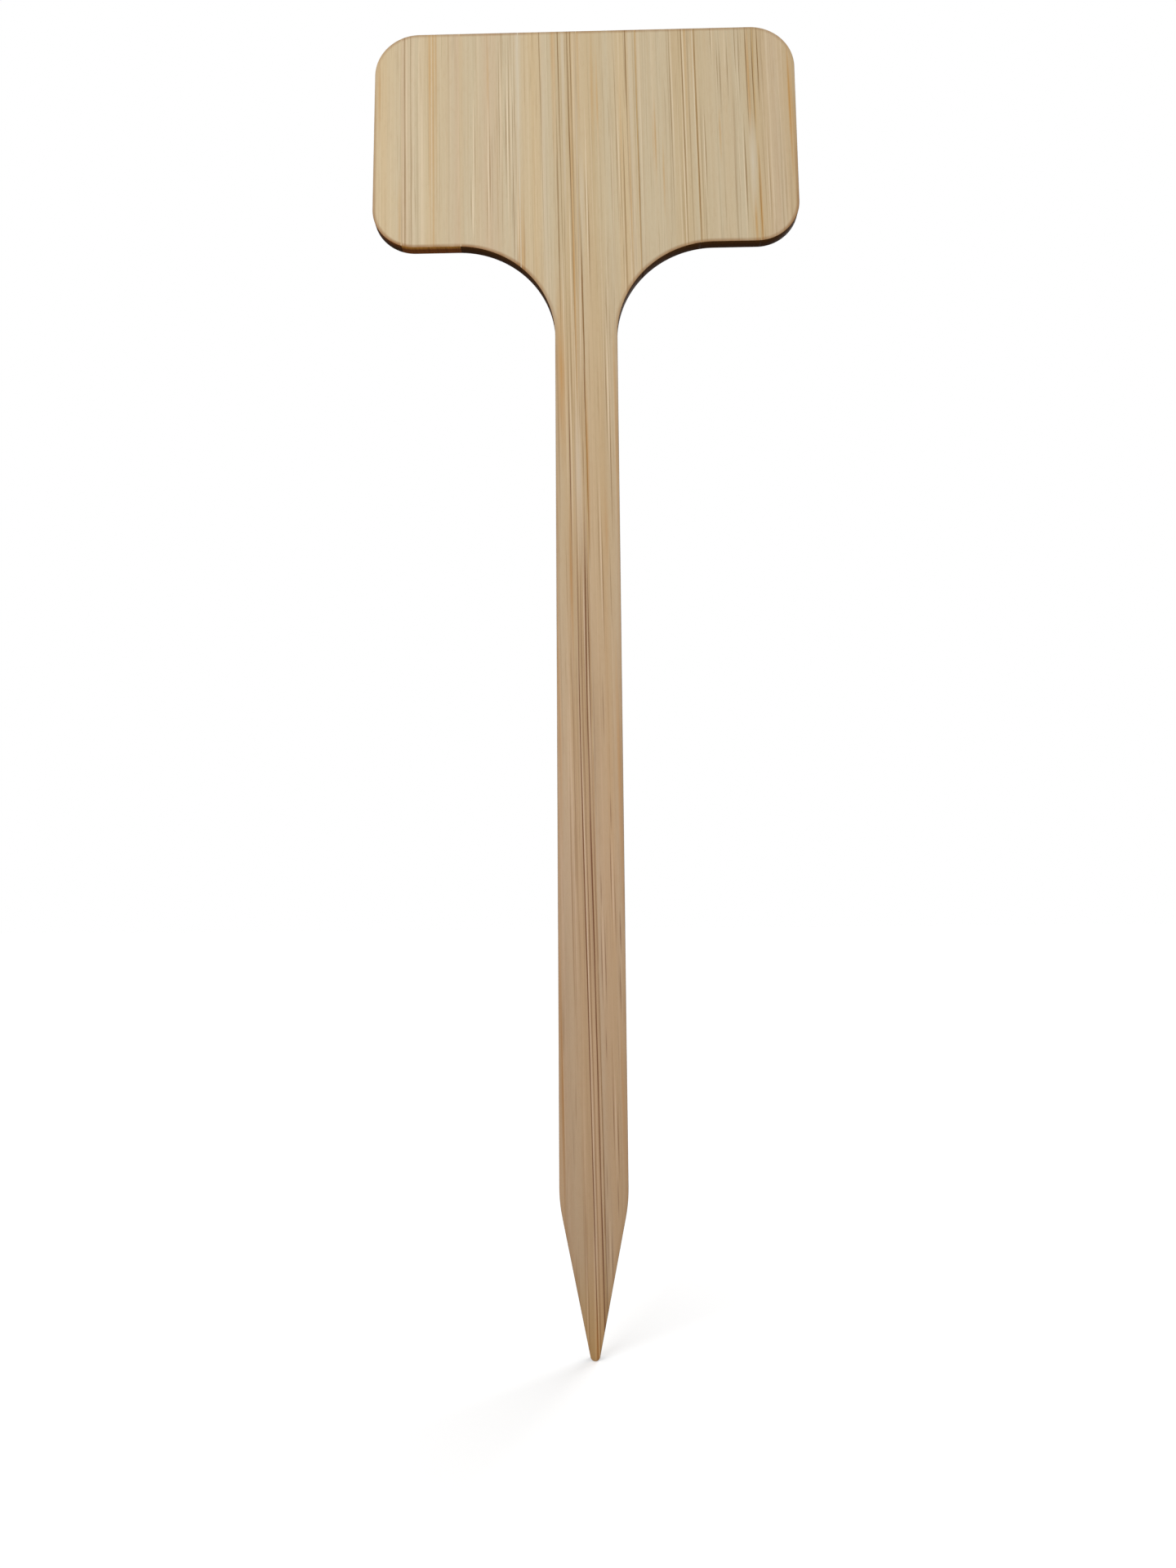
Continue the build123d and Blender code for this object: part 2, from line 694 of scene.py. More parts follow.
    def bundles(self, grain: Grain, density: NodeSocket) -> list[Layer]:
        """Fibre bundles that the planing has cut lengthwise: a pale core with a dark line on each side.

        Args:
            grain: the strip's grain.
            density: how close the fibres stand.

        Returns:
            A layer for the sides and one for the core.
        """
        tree = grain.tree
        place = add_node(tree, "Mapping", {"Vector": grain.place, **stretched(BUNDLE_SIZE, self.seed)})
        cells = add_node(tree, "TexVoronoi", {"Vector": place.outputs[0], "Scale": 1.0})
        chance = add_node(tree, "SeparateColor", {0: cells.outputs["Color"]})
        likely = add_node(tree, "Math", {0: chance.outputs[0], 1: density}, operation="MULTIPLY")
        shows = add_node(tree, "MapRange", {"Value": likely.outputs[0], **BUNDLE_SHOWS.settings()})
        layers = []
        for levels, tone in ((BUNDLE_SIDES, FibreTone.DARK), (BUNDLE_CORE, FibreTone.PALE)):
            near = add_node(tree, "MapRange", {"Value": cells.outputs["Distance"], **levels.settings()})
            share = add_node(tree, "Math", {0: near.outputs[0], 1: shows.outputs[0]}, operation="MULTIPLY")
            layers.append(Layer(share.outputs[0], to_linear(tone.value)))
        return layers

    def streaks(self, grain: Grain) -> dict[FibreTone, Layer]:
        """The strip's own long fibres, a little broken along their length.

        Args:
            grain: the strip's grain.

        Returns:
            A layer for each tone that the fibres have. Every strip has dark ones.
        """
        tree = grain.tree
        broken = add_node(tree, "Mapping", {"Vector": grain.place, **stretched(WEAR_SIZE, 2 * self.seed)})
        noise = add_node(tree, "TexNoise", {"Vector": broken.outputs[0], "Scale": 1.0, "Detail": 2.0})
        wear = add_node(tree, "MapRange", {"Value": noise.outputs[0], **WEAR.settings()})
        layers = {}
        for tone in FibreTone:
            fibres = [fibre for fibre in self.fibres if fibre.tone is tone]
            total = 0.0
            for fibre in fibres:
                inputs = {"Vector": grain.place, **fibre.spindle()}
                place = add_node(tree, "Mapping", inputs, vector_type="TEXTURE")
                ball = add_node(tree, "TexGradient", {"Vector": place.outputs[0]}, gradient_type="SPHERICAL")
                inputs = {0: ball.outputs["Fac"], 1: fibre.strength, 2: total}
                total = add_node(tree, "Math", inputs, operation="MULTIPLY_ADD").outputs[0]
            if fibres:
                inputs = {0: total, 1: wear.outputs[0]}
                share = add_node(tree, "Math", inputs, operation="MULTIPLY", use_clamp=True)
                layers[tone] = Layer(share.outputs[0], to_linear(tone.value))
        return layers

    def shaded_and_browned(self, grain: Grain, board: Board) -> Layer:
        """Lets the bamboo grow darker and browner from the head down to the point: partly its own browning,
        partly painted shade of the light falling off towards the point.

        Args:
            grain: the strip's grain.
            board: the board that the strip belongs to.

        Returns:
            A layer that tints all those below it.
        """
        tree = grain.tree
        length = board.cut_line.overall_length
        parts = add_node(tree, "SeparateXYZ", {0: grain.place})
        share = add_node(tree, "Math", {0: parts.outputs["Z"], 1: length}, operation="DIVIDE")
        ramp = add_node(tree, "ValToRGB", {0: share.outputs[0]})
        # painted shade towards the point, together with the bamboo's own browning
        set_stops(ramp, [(height / length, tint) for height, tint in SHADE_AND_BROWNING])
        return Layer(1.0, ramp.outputs[0], "MULTIPLY")

    def singed(self, grain: Grain) -> Layer:
        """Turns the bamboo amber in the halo beside the cut, in uneven patches.

        Args:
            grain: the strip's grain.

        Returns:
            The amber layer.
        """
        tree = grain.tree
        halo = add_node(tree, "Attribute", {}, attribute_name=SCORCH)
        drawn = stretched(SINGED_PATCH_SIZE, self.seed + 1)
        patches = add_node(tree, "Mapping", {"Vector": grain.place, **drawn})
        noise = add_node(tree, "TexNoise", {"Vector": patches.outputs[0], "Scale": 1.0, "Detail": 3.0})
        uneven = add_node(tree, "MapRange", {"Value": noise.outputs[0], **SINGED_PATCHES.settings()})
        inputs = {0: halo.outputs["Fac"], 1: uneven.outputs[0]}
        share = add_node(tree, "Math", inputs, operation="MULTIPLY", use_clamp=True)
        return Layer(share.outputs[0], to_linear(CharTone.SINGED.value))


@dataclass(frozen=True)
class CharredEdge:
    """Finish of the rim: bamboo end and side grain, burnt by the laser.

    To the eye it is a matt near-black brown with fine ridges through the board, paler where the strip burnt
    less.
    """

    front: CharTone
    back: CharTone
    seed: float
    reach: float = 0.6  # how far through the board the front's tone goes, as a share of the thickness
    ridge_height: float = 0.05  # of the fibres that stand out of the burnt edge

    def material(self, name: str, board: Board) -> Material:
        """Makes the burnt rim's material.

        Args:
            name: the material's name.
            board: the board that the rim belongs to.

        Returns:
            The material.
        """
        material, tree = new_material(name)
        grain = Grain.of(tree, board)
        parts = add_node(tree, "SeparateXYZ", {0: grain.place})
        through = Levels(-board.thickness / 2, board.thickness / 2)
        depth = add_node(tree, "MapRange", {"Value": parts.outputs["Y"], **through.settings()})
        ramp = add_node(tree, "ValToRGB", {0: depth.outputs[0]})
        set_stops(ramp, [(0.0, self.front.value), (self.reach, self.back.value)])
        ridges = add_node(tree, "Mapping", {"Vector": grain.place, **stretched(CHAR_RIDGE_SIZE, self.seed)})
        noise = add_node(tree, "TexNoise", {"Vector": ridges.outputs[0], "Scale": 1.0, "Detail": 3.0})
        share = add_node(tree, "MapRange", {"Value": noise.outputs[0], **CHAR_RIDGES.settings()})
        coal = to_linear(CharTone.COAL.value)
        inputs = {MIX_FACTOR: share.outputs[0], MIX_FIRST: ramp.outputs[0], MIX_SECOND: coal}
        colour = add_node(tree, "Mix", inputs, data_type="RGBA")
        inputs = {"Height": noise.outputs[0], "Distance": self.ridge_height * MM, "Strength": 0.7}
        bump = add_node(tree, "Bump", inputs)
        shader = add_node(
            tree,
            "BsdfPrincipled",
            {
                "Base Color": colour.outputs[MIX_RESULT],
                "Roughness": 0.8,
                "Normal": bump.outputs[0],
                "IOR": 1.5,
                "Specular IOR Level": 0.05,
            },
        )
        add_node(tree, "OutputMaterial", {"Surface": shader.outputs[0]})
        return material


@dataclass(frozen=True)
class DriedGlue:
    """Finish of a glue line: cured wood glue, sanded flush with the strips.

    To the eye it is a hairline, a little glossier than the bamboo, that is brown where it has soaked in and
    milky or clear where it hasn't.
    """

    tones: tuple[tuple[float, GlueTone], ...]  # heights going up, with the tone there
    seed: float

    def material(self, name: str, board: Board) -> Material:
        """Makes the glue line's material.

        Args:
            name: the material's name.
            board: the board that the glue line belongs to.

        Returns:
            The material.
        """
        material, tree = new_material(name)
        grain = Grain.of(tree, board)
        length = board.cut_line.overall_length
        parts = add_node(tree, "SeparateXYZ", {0: grain.place})
        share = add_node(tree, "Math", {0: parts.outputs["Z"], 1: length}, operation="DIVIDE")
        ramp = add_node(tree, "ValToRGB", {0: share.outputs[0]})
        set_stops(ramp, [(height / length, tone.value) for height, tone in self.tones])
        uneven = add_node(tree, "Mapping", {"Vector": grain.place, **stretched(GLUE_PATCH_SIZE, self.seed)})
        noise = add_node(tree, "TexNoise", {"Vector": uneven.outputs[0], "Scale": 1.0, "Detail": 2.0})
        thin = add_node(tree, "MapRange", {"Value": noise.outputs[0], **THIN_GLUE.settings()})
        bamboo = to_linear(StrawTone.TAN.value)
        inputs = {MIX_FACTOR: thin.outputs[0], MIX_FIRST: ramp.outputs[0], MIX_SECOND: bamboo}
        colour = add_node(tree, "Mix", inputs, data_type="RGBA")
        inputs = {"Base Color": colour.outputs[MIX_RESULT], "Roughness": 0.45, "IOR": 1.47}
        shader = add_node(tree, "BsdfPrincipled", inputs)
        add_node(tree, "OutputMaterial", {"Surface": shader.outputs[0]})
        return material


@dataclass
class BoardPiece(ABC):
    """One piece of the board, as the laser leaves it: its node in the frame, its place and its finish."""

    node: str
    seam: int  # which seam it lies on, or on whose right it lies, counted from the stem's seam
    finish: SandedBamboo | DriedGlue
    rim: CharredEdge

    made_of: ClassVar[str]  # ends the piece's name
    slot: ClassVar[str]  # the record's material slot
    rim_name: ClassVar[str]  # begins the name of the rim's material

    @abstractmethod
    def span(self, board: Board) -> tuple[float, float]:
        """Where the piece begins, measured across the grain from the stem's glue line, and its width."""

    @abstractmethod
    def face_material(self, board: Board) -> Material:
        """The material of its front and its back."""

    def build(self, board: Board, cut_out: BMesh) -> None:
        """Cuts the piece from the stake, puts it in place of its node and dresses it.

        Args:
            board: the board that the piece belongs to.
            cut_out: the whole stake.
        """
        start, width = self.span(board)
        mesh = board.band(cut_out, start, width)
        name = f"{self.node}_{self.made_of}"
        data = bpy.data.meshes.new(name)
        mesh.to_mesh(data)
        mesh.free()
        piece = bpy.data.objects.new(name, data)
        bpy.context.scene.collection.objects.link(piece)
        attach(piece, BODY)
        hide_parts(self.node)
        data.materials.append(self.face_material(board))
        data.materials.append(self.rim.material(f"{self.rim_name} {self.node}", board))
        self.report(piece)

    def report(self, piece: Object) -> None:
        """Logs the piece, and how far its box lies from its node's box.

        Args:
            piece: the finished piece.
        """
        corners = [vert.co for vert in piece.data.vertices]
        low = Vector([min(corner[axis] for corner in corners) for axis in range(3)])
        high = Vector([max(corner[axis] for corner in corners) for axis in range(3)])
        node_low, node_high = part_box(self.node)
        apart = max((low - node_low).length, (high - node_high).length) / MM
        log.info("%s: %d faces, box within %.3f mm of its node", piece.name, len(piece.data.polygons), apart)


@dataclass
class BambooStrip(BoardPiece):
    """One bamboo strip of the board."""

    made_of = "bamboo"
    slot = "bamboo"
    rim_name = "charred edge"

    def span(self, board: Board) -> tuple[float, float]:
        """From the glue line on its left to the next one."""
        return self.seam * board.strip_pitch + board.glue_line_width / 2, board.strip_width

    def face_material(self, board: Board) -> Material:
        """Sanded bamboo with the strip's own grain."""
        return self.finish.material(f"sanded bamboo {self.node}", board, self.seam * board.strip_pitch)


@dataclass
class GlueLine(BoardPiece):
    """One glue line between two strips."""

    made_of = "film"
    slot = "glue"
    rim_name = "charred glue"

    def span(self, board: Board) -> tuple[float, float]:
        """Half of it lies on each side of the seam."""
        return self.seam * board.strip_pitch - board.glue_line_width / 2, board.glue_line_width

    def face_material(self, board: Board) -> Material:
        """Dried glue with the line's own tones."""
        return self.finish.material(f"dried glue {self.node}", board)


@dataclass
class LabelStake:
    """The whole stake: its strips from left to right, and the glue lines between them."""

    board: Board
    strips: list[BambooStrip]
    glue_lines: list[GlueLine]

    def build(self) -> None:
        """Cuts the stake out once and tells it apart into its pieces."""
        cut_out = self.board.cut_out()
        for piece in [*self.strips, *self.glue_lines]:
            piece.build(self.board, cut_out)
        cut_out.free()


@dataclass
class Studio:
    """A plain white studio with the camera at the photograph's viewing angle."""

    camera_place: Triple = (2.281, -137.662, 52.271)
    camera_turn: Triple = (97.6558, 0.4895, 1.1453)
    lens: float = 24.375
    sensor: float = 36.0
    near: float = 10.0
    soft_light: float = 0.47  # strength of the light from all round
    key_place: Triple = (-190.0, -290.0, 260.0)
    back_place: Triple = (190.0, 290.0, 260.0)
    light_aim: Triple = (0.0, 0.0, 150.0)
    softbox_size: float = 240.0
    softbox_watts: float = 0.75
    white: str = "ffffff"
    floor_paint: str = "e7e7e7"
    floor_size: float = 40000.0
    # What lifts the lit floor to white: how far from the tip, and how strongly there
    near_floor: float = 100.0
    near_glow: float = 0.36
    far_floor: float = 600.0
    far_glow: float = 0.72

    def build(self) -> None:
        """Sets the floor, the light and the camera."""
        self.set_floor()
        self.set_world()
        self.hang_softbox("key softbox", self.key_place)
        self.hang_softbox("back softbox", self.back_place)
        self.set_camera()
        bpy.context.scene.view_settings.view_transform = "Standard"

    def seen_directly(self, tree: NodeTree) -> NodeSocket:
        """A switch that is 1 for what the camera sees, straight or in a gloss or through glass.

        Args:
            tree: the node tree that needs it.

        Returns:
            The switch.
        """
        rays = add_node(tree, "LightPath", {})
        seen = rays.outputs["Is Camera Ray"]
        for way in ("Is Glossy Ray", "Is Transmission Ray"):
            either = add_node(tree, "Math", {0: seen, 1: rays.outputs[way]}, operation="ADD", use_clamp=True)
            seen = either.outputs[0]
        return seen

    def set_floor(self) -> None:
        """Lays a wide white floor at the height of the tip, which keeps the stake's shadow."""
        mesh = bmesh.new()
        bmesh.ops.create_grid(mesh, x_segments=1, y_segments=1, size=self.floor_size / 2 * MM)
        data = bpy.data.meshes.new("floor")
        mesh.to_mesh(data)
        mesh.free()
        floor = bpy.data.objects.new("floor", data)
        bpy.context.scene.collection.objects.link(floor)
        material, tree = new_material("white studio floor")
        paint = add_node(tree, "BsdfDiffuse", {"Color": to_linear(self.floor_paint)})
        place = add_node(tree, "TexCoord", {})
        distance = add_node(tree, "VectorMath", {0: place.outputs["Object"]}, operation="LENGTH")
        levels = Levels(self.near_floor * MM, self.far_floor * MM, self.near_glow, self.far_glow)
        inputs = {"Value": distance.outputs["Value"], **levels.settings()}
        lift = add_node(tree, "MapRange", inputs, interpolation_type="SMOOTHSTEP")
        glow = add_node(tree, "Emission", {"Color": to_linear(self.white), "Strength": lift.outputs[0]})
        both = add_node(tree, "AddShader", {0: paint.outputs[0], 1: glow.outputs[0]})
        inputs = {0: self.seen_directly(tree), 1: paint.outputs[0], 2: both.outputs[0]}
        shown = add_node(tree, "MixShader", inputs)
        add_node(tree, "OutputMaterial", {"Surface": shown.outputs[0]})
        data.materials.append(material)

    def set_world(self) -> None:
        """Surrounds the scene with soft white light, and shows it as plain white."""
        world = bpy.data.worlds.new("white studio")
        world.use_nodes = True
        tree = world.node_tree
        tree.nodes.clear()
        white = to_linear(self.white)
        light = add_node(tree, "Background", {"Color": white, "Strength": self.soft_light})
        backdrop = add_node(tree, "Background", {"Color": white, "Strength": 1.0})
        inputs = {0: self.seen_directly(tree), 1: light.outputs[0], 2: backdrop.outputs[0]}
        shown = add_node(tree, "MixShader", inputs)
        add_node(tree, "OutputWorld", {"Surface": shown.outputs[0]})
        bpy.context.scene.world = world

    def hang_softbox(self, name: str, place: Triple) -> None:
        """Hangs one large soft light, nearer to the head than to the tip.

        Args:
            name: the light's name.
            place: where it hangs.
        """
        light = bpy.data.lights.new(name, "AREA")
        light.size = self.softbox_size * MM
        light.energy = self.softbox_watts
        softbox = bpy.data.objects.new(name, light)
        softbox.location = Vector(place) * MM
        way = (Vector(self.light_aim) - Vector(place)) * MM
        softbox.rotation_euler = way.to_track_quat("-Z", "Y").to_euler()
        softbox.visible_camera = False
        bpy.context.scene.collection.objects.link(softbox)

    def set_camera(self) -> None:
        """Places the camera."""
        data = bpy.data.cameras.new("camera")
        data.lens = self.lens
        data.sensor_width = self.sensor
        data.clip_start = self.near * MM
        camera = bpy.data.objects.new("camera", data)
        camera.location = Vector(self.camera_place) * MM
        camera.rotation_euler = [math.radians(angle) for angle in self.camera_turn]
        bpy.context.scene.collection.objects.link(camera)
        bpy.context.scene.camera = camera


STRAW, ASH, SAND, HONEY, TAN, CLAY = StrawTone
DARK, UMBER, AMBER, PALE, GREY = FibreTone

# The finish of each strip. Its fibres are given by place, width, tone, strength and, where they end in view,
# foot, top and stray.
LEFT_3 = SandedBamboo(
    tones=(STRAW, STRAW, HONEY, STRAW),
    dense_side=DenseSide.RIGHT,
    seed=1.3,
    boldness=0.6,
    fibres=(
        Fibre(5.3, 0.6, AMBER, 0.5, 162, 180),
        Fibre(5.4, 0.16, DARK, 0.45, 164, 179),
        Fibre(8.2, 0.8, AMBER, 0.45, 140, 160),
    ),
)
LEFT_2 = SandedBamboo(
    tones=(SAND, STRAW, HONEY, STRAW, SAND),
    dense_side=DenseSide.LEFT,
    seed=2.7,
    fibres=(
        Fibre(0.55, 0.26, DARK, 0.85),
        Fibre(0.78, 0.2, PALE, 0.6),
        Fibre(1.41, 0.22, DARK, 0.7),
        Fibre(1.75, 0.5, PALE, 0.35),
        Fibre(2.33, 0.5, DARK, 0.25, 130, 180),
        Fibre(3.0, 1.2, PALE, 0.35),
        Fibre(4.12, 0.5, AMBER, 0.55, 140, 210),
        Fibre(4.6, 0.4, AMBER, 0.5),
        Fibre(5.0, 0.35, AMBER, 0.4, 150, 200),
        Fibre(6.8, 0.4, DARK, 0.25, 140, 215),
    ),
)
LEFT_1 = SandedBamboo(
    tones=(STRAW, STRAW, SAND, STRAW, ASH),
    dense_side=DenseSide.RIGHT,
    seed=4.1,
    fibres=(
        Fibre(1.53, 0.15, DARK, 0.7, 149, 158),
        Fibre(1.78, 0.2, PALE, 1.8, 147, 159),
        Fibre(1.95, 0.22, PALE, 1.4, 150, 172),
        Fibre(2.11, 0.16, DARK, 0.9, 150, 170),
        Fibre(3.82, 0.16, DARK, 0.6, 146, 160),
        Fibre(3.98, 0.2, PALE, 1.5, 143, 172),
        Fibre(4.05, 0.4, AMBER, 0.3, 166, 180),
        Fibre(4.24, 0.18, DARK, 0.9, 150, 168),
        Fibre(5.59, 0.18, DARK, 0.8, 154, 182),
        Fibre(5.8, 0.2, PALE, 1.2, 151, 180),
        Fibre(5.9, 0.16, DARK, 0.5, 143, 166),
        Fibre(6.53, 0.18, DARK, 1.2, 153, 174),
        Fibre(6.78, 0.22, PALE, 1.6, 147, 178),
        Fibre(6.99, 0.17, DARK, 0.9, 150, 178),
        Fibre(7.3, 0.2, PALE, 0.9, 152, 182),
        Fibre(7.51, 0.2, DARK, 0.8, 138, 170),
        Fibre(7.65, 0.18, PALE, 0.6, 140, 190),
        Fibre(7.78, 0.18, DARK, 0.7, 152, 182),
        Fibre(8.08, 0.2, PALE, 1.3, 140, 160),
        Fibre(8.3, 0.7, GREY, 1.2, 154, 215),
        Fibre(8.2, 0.7, AMBER, 0.5, 132, 160),
    ),
)
STEM_LEFT = SandedBamboo(
    tones=(STRAW, HONEY, STRAW, TAN, CLAY),
    dense_side=DenseSide.RIGHT,
    seed=5.9,
    boldness=1.1,
    fibres=(
        Fibre(0.1, 0.8, GREY, 0.6, 156, 215),
        Fibre(0.3, 0.9, AMBER, 0.55, 128, 160),
        Fibre(0.53, 0.18, DARK, 0.6, 132, 158),
        Fibre(3.12, 0.24, DARK, 0.75, 138, 208, -0.6),
        Fibre(3.35, 0.2, PALE, 0.5, 142, 172, -0.25),
        Fibre(3.6, 1.0, GREY, 0.45),
        Fibre(5.0, 0.9, AMBER, 0.5, 156, 205),
        Fibre(5.38, 0.24, DARK, 1.4, 128, 170),
        Fibre(5.75, 0.24, DARK, 1.5, 144, 208, -0.35),
        Fibre(6.4, 0.7, GREY, 0.85, 138, 220),
        Fibre(7.17, 0.24, DARK, 1.2, 118, 205, -0.48),
        Fibre(7.4, 0.4, AMBER, 0.7, 120, 174),
        Fibre(7.55, 0.2, DARK, 0.95, 136, 200, -0.2),
        Fibre(5.8, 0.2, PALE, 0.8, 128, 150),
        Fibre(6.92, 0.2, PALE, 1.0, 120, 160),
        Fibre(8.07, 0.26, PALE, 1.0, 120, 150, 0.5),
        Fibre(8.1, 0.5, GREY, 0.5, 120, 205),
        Fibre(4.75, 0.24, DARK, 0.6, 102, 136),
        Fibre(5.3, 1.6, AMBER, 0.7, 112, 144),
        Fibre(6.2, 0.24, UMBER, 1.25, 92, 134, 0.04),
        Fibre(6.05, 0.6, AMBER, 0.6, 86, 112),
        Fibre(6.44, 0.22, PALE, 1.5, 100, 134),
        Fibre(6.65, 0.18, DARK, 0.9, 116, 142),
        Fibre(7.3, 1.2, GREY, 1.0, 98, 126),
        Fibre(6.82, 0.2, UMBER, 1.2, 70, 108, 0.15),
        Fibre(6.88, 0.22, UMBER, 1.6, 24, 92, -0.39),
        Fibre(7.19, 0.22, UMBER, 1.4, -50, 58, -0.6),
        Fibre(7.04, 0.18, PALE, 1.5, 18, 92, -0.42),
        Fibre(7.2, 0.6, AMBER, 0.75, -5, 8),
        Fibre(7.3, 0.18, PALE, 1.0, -40, 54, -0.5),
        Fibre(7.21, 0.18, UMBER, 0.9, 74, 106, 0.12),
        Fibre(7.3, 0.18, UMBER, 0.8, 20, 92, -0.32),
        Fibre(7.51, 0.18, UMBER, 0.7, -40, 56, -0.43),
        Fibre(7.7, 0.3, PALE, 0.45, -20, 70, -0.3),
        Fibre(7.85, 0.26, UMBER, 1.8, 74, 112, 0.31),
        Fibre(7.86, 0.26, UMBER, 1.7, 26, 94, -0.31),
        Fibre(8.09, 0.24, UMBER, 1.4, -40, 60, -0.5),
        Fibre(8.02, 0.15, PALE, 1.0, 66, 98),
        Fibre(8.19, 0.18, UMBER, 1.3, 74, 104, 0.03),
        Fibre(8.27, 0.18, UMBER, 0.8, 20, 90, -0.25),
        Fibre(5.25, 0.35, DARK, 0.25, 36, 78),
        Fibre(7.0, 2.2, DARK, 0.15, 58, 98),
        Fibre(4.1, 0.7, AMBER, 0.45, 58, 100),
        Fibre(4.1, 1.8, DARK, 0.2, 0, 80),
        Fibre(3.5, 0.5, AMBER, 0.6, 12, 56),
        Fibre(3.53, 0.2, DARK, 0.7, 10, 50),
    ),
)
STEM_RIGHT = SandedBamboo(
    tones=(STRAW, TAN, STRAW, HONEY, STRAW),
    dense_side=DenseSide.RIGHT,
    seed=7.3,
    boldness=1.1,
    fibres=(
        Fibre(0.12, 0.7, AMBER, 0.5, 156, 205),
        Fibre(0.35, 0.8, GREY, 0.45, 144, 164),
        Fibre(0.09, 0.26, DARK, 1.6, 116, 154),
        Fibre(0.12, 0.36, DARK, 1.2, 98, 128, -0.15),
        Fibre(0.2, 0.7, AMBER, 0.6, 100, 130),
        Fibre(0.8, 0.17, DARK, 0.7, 146, 160),
        Fibre(0.98, 0.2, PALE, 1.3, 138, 170),
        Fibre(1.18, 0.2, DARK, 0.9, 136, 160),
        Fibre(2.1, 0.7, AMBER, 0.35, 160, 180),
        Fibre(2.8, 0.4, AMBER, 0.6, 160, 178),
        Fibre(4.55, 0.3, DARK, 0.25, 148, 164),
        Fibre(5.38, 0.2, DARK, 1.1, 148, 176),
        Fibre(5.65, 0.22, PALE, 1.0, 150, 172),
        Fibre(5.88, 0.18, DARK, 0.7, 146, 164),
        Fibre(6.05, 0.3, AMBER, 0.45, 152, 176),
        Fibre(6.35, 0.2, DARK, 0.9, 134, 168),
        Fibre(7.02, 0.24, DARK, 1.1, 142, 206),
        Fibre(7.2, 0.2, AMBER, 0.6, 142, 166),
        Fibre(7.45, 0.18, DARK, 0.6, 140, 166),
        Fibre(7.6, 0.8, GREY, 0.5),
        Fibre(8.1, 0.24, DARK, 0.35, 140, 200),
        Fibre(0.75, 0.18, DARK, 0.5, 122, 134),
        Fibre(1.85, 0.3, DARK, 0.3, 118, 131),
        Fibre(3.3, 0.2, DARK, 0.6, 132, 142),
        Fibre(2.95, 0.2, DARK, 0.8, 114, 138),
        Fibre(3.22, 0.24, PALE, 1.6, 110, 138),
        Fibre(3.35, 0.2, DARK, 1.0, 101, 128),
        Fibre(4.2, 0.6, AMBER, 0.6, 102, 138),
        Fibre(1.43, 0.18, DARK, 0.7, 94, 114),
        Fibre(1.68, 0.22, PALE, 1.0, 88, 116),
        Fibre(1.87, 0.2, DARK, 0.8, 86, 110),
        Fibre(2.87, 0.18, DARK, 0.8, 90, 104),
        Fibre(2.5, 0.8, AMBER, 0.3, 98, 112),
        Fibre(0.6, 1.8, DARK, 0.18, 58, 98),
        Fibre(1.45, 0.2, UMBER, 0.6, 75, 86),
        Fibre(0.2, 0.2, UMBER, 0.4, 56, 94),
        Fibre(3.35, 0.7, AMBER, 0.6, 52, 92),
        Fibre(2.07, 0.24, UMBER, 0.7, 64, 70),
        Fibre(1.9, 0.18, UMBER, 0.8, 52, 66),
        Fibre(2.12, 0.22, PALE, 0.9, 49, 65),
        Fibre(2.36, 0.18, UMBER, 0.8, 48, 62),
        Fibre(2.92, 0.24, UMBER, 0.8, 48, 55),
        Fibre(2.75, 0.2, UMBER, 0.8, 40, 49),
        Fibre(0.6, 0.24, UMBER, 0.7, 54, 60),
        Fibre(0.46, 0.18, UMBER, 0.7, 41, 55),
        Fibre(0.7, 0.22, PALE, 1.0, 41, 57),
        Fibre(0.95, 0.18, UMBER, 0.8, 41, 54),
        Fibre(0.76, 0.2, UMBER, 0.6, 35, 40),
        Fibre(2.7, 0.6, AMBER, 0.4, 18, 46),
        Fibre(1.47, 0.18, UMBER, 0.8, 23, 34),
        Fibre(1.72, 0.22, PALE, 1.0, 20, 35),
        Fibre(1.97, 0.18, UMBER, 0.8, 20, 31),
        Fibre(1.76, 0.2, UMBER, 0.6, 16, 22),
        Fibre(0.08, 0.22, UMBER, 0.9, -25, 46),
        Fibre(0.44, 0.2, UMBER, 0.6, 18, 24),
        Fibre(0.36, 0.18, UMBER, 0.7, 9, 18),
        Fibre(0.62, 0.2, PALE, 0.9, 8, 18),
        Fibre(0.86, 0.18, UMBER, 0.7, 7, 16),
    ),
)
RIGHT_1 = SandedBamboo(
    tones=(STRAW, STRAW, STRAW, TAN, STRAW),
    dense_side=DenseSide.RIGHT,
    seed=8.9,
    fibres=(
        Fibre(0.12, 0.2, DARK, 1.0, 136, 178),
        Fibre(0.08, 0.5, AMBER, 0.5, 158, 205),
        Fibre(0.55, 0.4, PALE, 0.5, 140, 190),
        Fibre(0.7, 0.18, DARK, 0.4, 146, 172),
        Fibre(2.2, 0.3, AMBER, 0.35, 156, 168),
        Fibre(2.5, 0.4, AMBER, 0.6, 155, 170),
        Fibre(2.55, 0.16, DARK, 0.4, 156, 169),
        Fibre(3.55, 0.4, AMBER, 0.5, 149, 164),
        Fibre(4.87, 0.22, DARK, 1.1, 146, 186),
        Fibre(5.1, 0.24, PALE, 0.8, 150, 188),
        Fibre(6.2, 0.18, DARK, 0.4, 134, 164),
        Fibre(6.44, 0.2, PALE, 1.0, 130, 180),
        Fibre(6.64, 0.24, DARK, 1.05, 132, 206),
        Fibre(6.85, 0.2, PALE, 0.9, 150, 196),
        Fibre(7.16, 0.5, AMBER, 0.5, 160, 205),
        Fibre(8.0, 0.4, AMBER, 0.4, 162, 205),
        Fibre(8.25, 0.2, PALE, 0.8, 145, 205),
    ),
)
